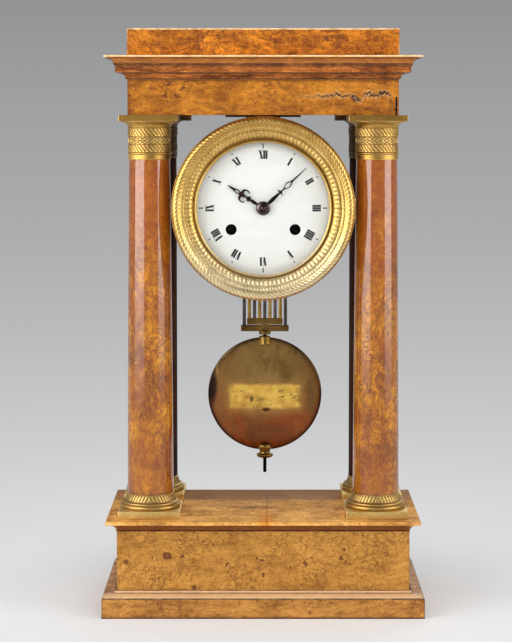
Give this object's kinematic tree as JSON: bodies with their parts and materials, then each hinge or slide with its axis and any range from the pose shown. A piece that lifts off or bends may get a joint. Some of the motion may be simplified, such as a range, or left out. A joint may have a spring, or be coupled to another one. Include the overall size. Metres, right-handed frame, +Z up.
{
  "type": "portico mantel clock",
  "caption": "Four-column portico mantel clock in burr veneer, with a hinged gilt bezel, a drum movement and a gridiron pendulum.",
  "frame": {"origin": "middle of the base's underside, where the clock rests", "axes": "+Z up, -Y towards the viewer of the dial, +X to the viewer's right"},
  "size_m": [0.2632, 0.143, 0.48],
  "materials": {
    "burr_veneer": "French-polished burr veneer, cloudy golden brown with dark knots",
    "dark_burr_veneer": "French-polished veneer on the mouldings, darker red-brown",
    "column_veneer": "glossy red-brown burr veneer on the round shafts",
    "carcass_wood": "plain unfinished pine and oak boards",
    "dark_wood": "stained almost black, dull",
    "gilt_brass": "chased and gilt, with worn darker hollows",
    "brass": "lacquered brass, satin",
    "brass_and_steel_rods": "alternating brass and steel rods, brass bars",
    "bronzed_brass": "old dark lacquer over polished brass, mirror-like",
    "bell_bronze": "turned bell metal, satin",
    "steel": "polished steel, lightly brushed",
    "blued_steel": "blued and browned steel",
    "enamel": "white fired enamel, glossy",
    "clear_glass": "clear flat glass"
  },
  "bodies": {
    "case": {"base_floor_board": "carcass_wood", "base_front_panel": "burr_veneer", "base_back_panel": "carcass_wood", "base_left_panel": "burr_veneer", "base_right_panel": "burr_veneer", "plinth_moulding_front": "dark_burr_veneer", "plinth_moulding_left": "dark_burr_veneer", "plinth_moulding_right": "dark_burr_veneer", "base_top_board": "burr_veneer", "frieze_front_panel": "burr_veneer", "frieze_left_panel": "burr_veneer", "frieze_right_panel": "burr_veneer", "frieze_back_panel": "dark_wood", "soffit_board": "carcass_wood", "cornice_front": "dark_burr_veneer", "cornice_left": "dark_burr_veneer", "cornice_right": "dark_burr_veneer", "attic_board": "burr_veneer", "hanger_bracket": "brass", "movement_drum": "brass", "dial": "enamel", "bezel_hinge_pin": "steel", "front_plate": "brass", "back_plate": "brass", "centre_wheel": "brass", "third_wheel": "brass", "escape_wheel": "brass", "going_barrel": "brass", "strike_barrel": "brass", "suspension_cock": "brass", "bell": "bell_bronze", "bell_stand": "brass", "column_front_left_base": "gilt_brass", "column_front_left_shaft": "column_veneer", "column_front_left_capital": "gilt_brass", "column_front_right_base": "gilt_brass", "column_front_right_shaft": "column_veneer", "column_front_right_capital": "gilt_brass", "column_back_left_base": "gilt_brass", "column_back_left_shaft": "column_veneer", "column_back_left_capital": "gilt_brass", "column_back_right_base": "gilt_brass", "column_back_right_shaft": "column_veneer", "column_back_right_capital": "gilt_brass"},
    "bezel_door": {"bezel": "gilt_brass", "bezel_glass": "clear_glass"},
    "minute_hand_body": {"minute_hand": "blued_steel", "cannon_pinion": "brass", "hand_nut": "brass"},
    "hour_hand_body": {"hour_hand": "blued_steel", "hour_wheel": "brass"},
    "minute_wheel_body": {"minute_wheel": "brass"},
    "going_arbor_body": {"going_winding_arbor": "steel"},
    "strike_arbor_body": {"strike_winding_arbor": "steel"},
    "anchor_body": {"pallet_anchor": "steel", "crutch": "brass"},
    "pendulum_body": {"pendulum_gridiron": "brass_and_steel_rods"},
    "bob_body": {"pendulum_bob": "bronzed_brass"},
    "rating_nut_body": {"rating_nut": "brass"},
    "hammer_body": {"hammer": "steel"}
  },
  "joints": [
    {"name": "bezel_hinge", "type": "hinge", "parent": "case", "child": "bezel_door", "pos_m": [0.0744, -0.045, 0.3335], "axis": [0, 0, 1], "range_deg": [0, 84]},
    {"name": "minute_hand_turn", "type": "hinge", "parent": "case", "child": "minute_hand_body", "pos_m": [0, -0.046, 0.3335], "axis": [0, 1, 0], "continuous": true},
    {"name": "hour_hand_turn", "type": "hinge", "parent": "case", "child": "hour_hand_body", "pos_m": [0, -0.046, 0.3335], "axis": [0, 1, 0], "continuous": true},
    {"name": "minute_wheel_turn", "type": "hinge", "parent": "case", "child": "minute_wheel_body", "pos_m": [0.00688, -0.035, 0.34333], "axis": [0, 1, 0], "continuous": true},
    {"name": "going_winding_turn", "type": "hinge", "parent": "case", "child": "going_arbor_body", "pos_m": [0.0262, -0.035, 0.3159], "axis": [0, 1, 0], "continuous": true},
    {"name": "strike_winding_turn", "type": "hinge", "parent": "case", "child": "strike_arbor_body", "pos_m": [-0.0262, -0.035, 0.3159], "axis": [0, 1, 0], "continuous": true},
    {"name": "pendulum_swing", "type": "hinge", "parent": "case", "child": "pendulum_body", "pos_m": [0.0015, 0.025, 0.3795], "axis": [0, 1, 0], "range_deg": [-4, 4]},
    {"name": "anchor_rock", "type": "hinge", "parent": "case", "child": "anchor_body", "pos_m": [0.0015, 0, 0.3795], "axis": [0, 1, 0], "range_deg": [-4, 4]},
    {"name": "rating_nut_turn", "type": "hinge", "parent": "bob_body", "child": "rating_nut_body", "pos_m": [0.0015, 0.025, 0.118], "axis": [0, 0, 1], "range_deg": [-1440, 360]},
    {"name": "bob_slide", "type": "slide", "parent": "pendulum_body", "child": "bob_body", "axis": [0, 0, 1], "range_m": [-0.0028, 0.0007]},
    {"name": "hammer_lift", "type": "hinge", "parent": "case", "child": "hammer_body", "pos_m": [-0.03791, 0.02, 0.29751], "axis": [0, 1, 0], "range_deg": [-18, 2], "stiffness_Nm_per_rad": 0.004}
  ],
  "couplings": [
    {"joint": "hour_hand_turn", "follows": "minute_hand_turn", "ratio": 0.083333},
    {"joint": "minute_wheel_turn", "follows": "minute_hand_turn", "ratio": -0.33333},
    {"joint": "anchor_rock", "follows": "pendulum_swing", "ratio": 1},
    {"joint": "rating_nut_turn", "follows": "bob_slide", "rad_per_m": 8976}
  ]
}
